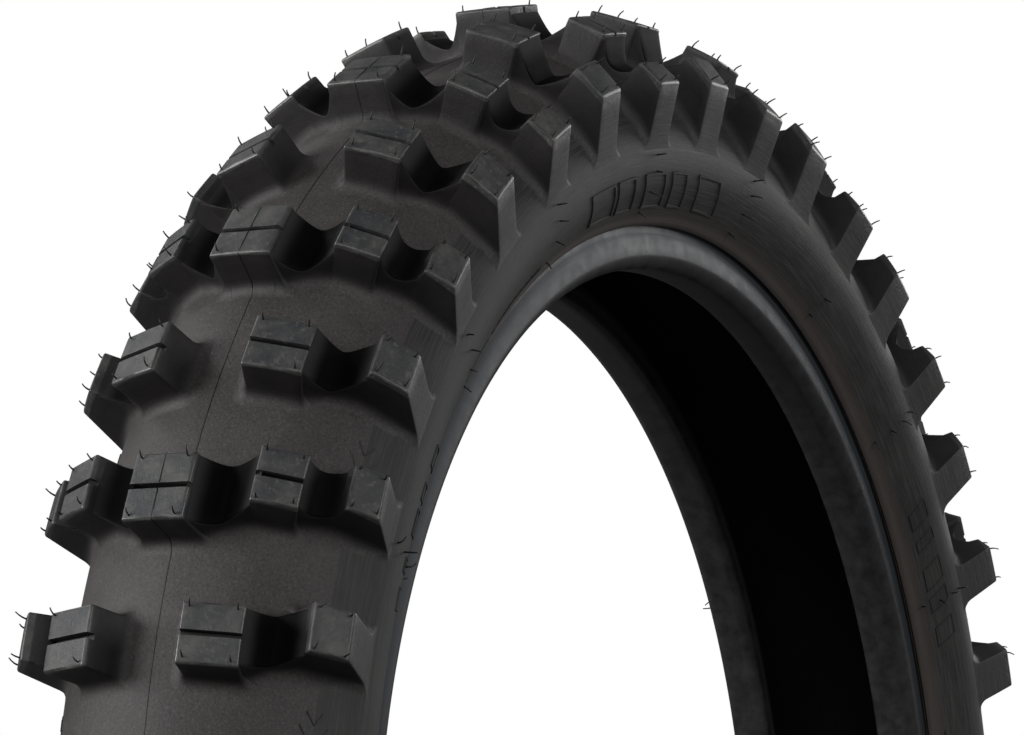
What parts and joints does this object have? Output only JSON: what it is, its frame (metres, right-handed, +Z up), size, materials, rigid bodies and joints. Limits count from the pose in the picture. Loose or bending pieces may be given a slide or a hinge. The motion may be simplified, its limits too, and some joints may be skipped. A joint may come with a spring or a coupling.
{
  "type": "off-road motorcycle tyre",
  "caption": "Knobbly off-road motorcycle tyre in 110/90-19 size, with its moulded knob groups, bias plies, sidewalls and wire beads as separate parts.",
  "frame": {"origin": "centre of the wheel, on the axle line and in the tyre's middle plane", "axes": "+Y along the axle, +Z up, +X along the ground; knob fronts face the way angles fall from -X over the top to +X"},
  "size_m": [0.6848, 0.1266, 0.6848],
  "materials": {
    "tread_rubber": "matt moulded rubber with fine dust between the knobs",
    "knob_rubber": "satin moulded rubber with scuffed knob tops",
    "sidewall_rubber": "satin rubber with fine brushed rings",
    "bead_rubber": "smooth satin rubber",
    "inner_rubber": "smooth dull black rubber",
    "cord_fabric": "rubbered nylon cord fabric",
    "chafer_fabric": "rubbered square-woven fabric",
    "bead_steel": "bronze-plated steel wire"
  },
  "bodies": {
    "root": {"inner_liner": "inner_rubber", "carcass_ply_1": "cord_fabric", "carcass_ply_2": "cord_fabric", "tread_breaker": "cord_fabric", "tread_base": "tread_rubber", "sidewall_left": "sidewall_rubber", "sidewall_right": "sidewall_rubber", "bead_wires_left": "bead_steel", "bead_wires_right": "bead_steel", "bead_insulation_left": "inner_rubber", "bead_insulation_right": "inner_rubber", "bead_filler_left": "inner_rubber", "bead_filler_right": "inner_rubber", "chafer_left": "chafer_fabric", "chafer_right": "chafer_fabric", "rim_strip_left": "bead_rubber", "rim_strip_right": "bead_rubber", "centre_knobs": "knob_rubber", "inner_knobs_left": "knob_rubber", "inner_knobs_right": "knob_rubber", "intermediate_knobs_left": "knob_rubber", "intermediate_knobs_right": "knob_rubber", "high_shoulder_knobs_left": "knob_rubber", "high_shoulder_knobs_right": "knob_rubber", "low_shoulder_knobs_left": "knob_rubber", "low_shoulder_knobs_right": "knob_rubber", "centre_ties": "tread_rubber", "inner_ties": "tread_rubber", "outer_ties": "tread_rubber"}
  },
  "joints": []
}
